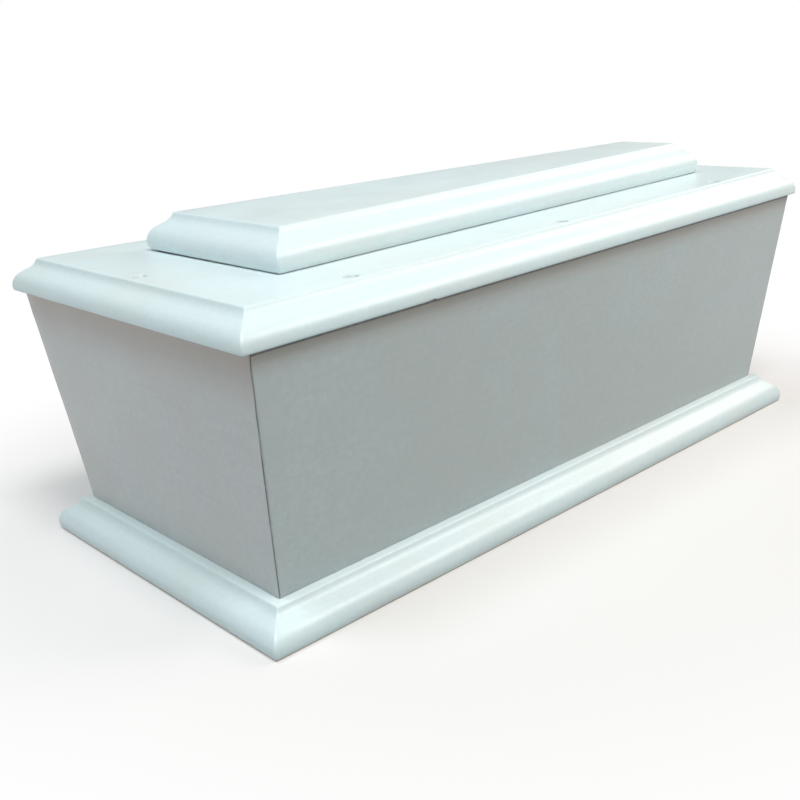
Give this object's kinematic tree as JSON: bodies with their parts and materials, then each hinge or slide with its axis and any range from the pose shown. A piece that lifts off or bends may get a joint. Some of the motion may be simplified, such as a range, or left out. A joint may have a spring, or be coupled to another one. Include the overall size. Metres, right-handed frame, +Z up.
{
  "type": "infant coffin",
  "caption": "Small flared wooden coffin in white satin paint, wider at the head, with mitred leaning walls, moulded base, moulded lid and a raised panel.",
  "frame": {"origin": "on the ground under the middle of the lid, on the centre line", "axes": "+X from the head end to the foot end, +Z up, so +Y is the left side"},
  "size_m": [0.6316, 0.327, 0.249],
  "materials": {
    "board_paint": "satin white paint on moulded pine boards",
    "wall_paint": "satin white paint on flat pine boards"
  },
  "bodies": {
    "root": {"base_board": "board_paint", "head_end": "wall_paint", "foot_end": "wall_paint", "left_side": "wall_paint", "right_side": "wall_paint", "lid_board": "board_paint", "raised_panel": "board_paint"}
  },
  "joints": []
}
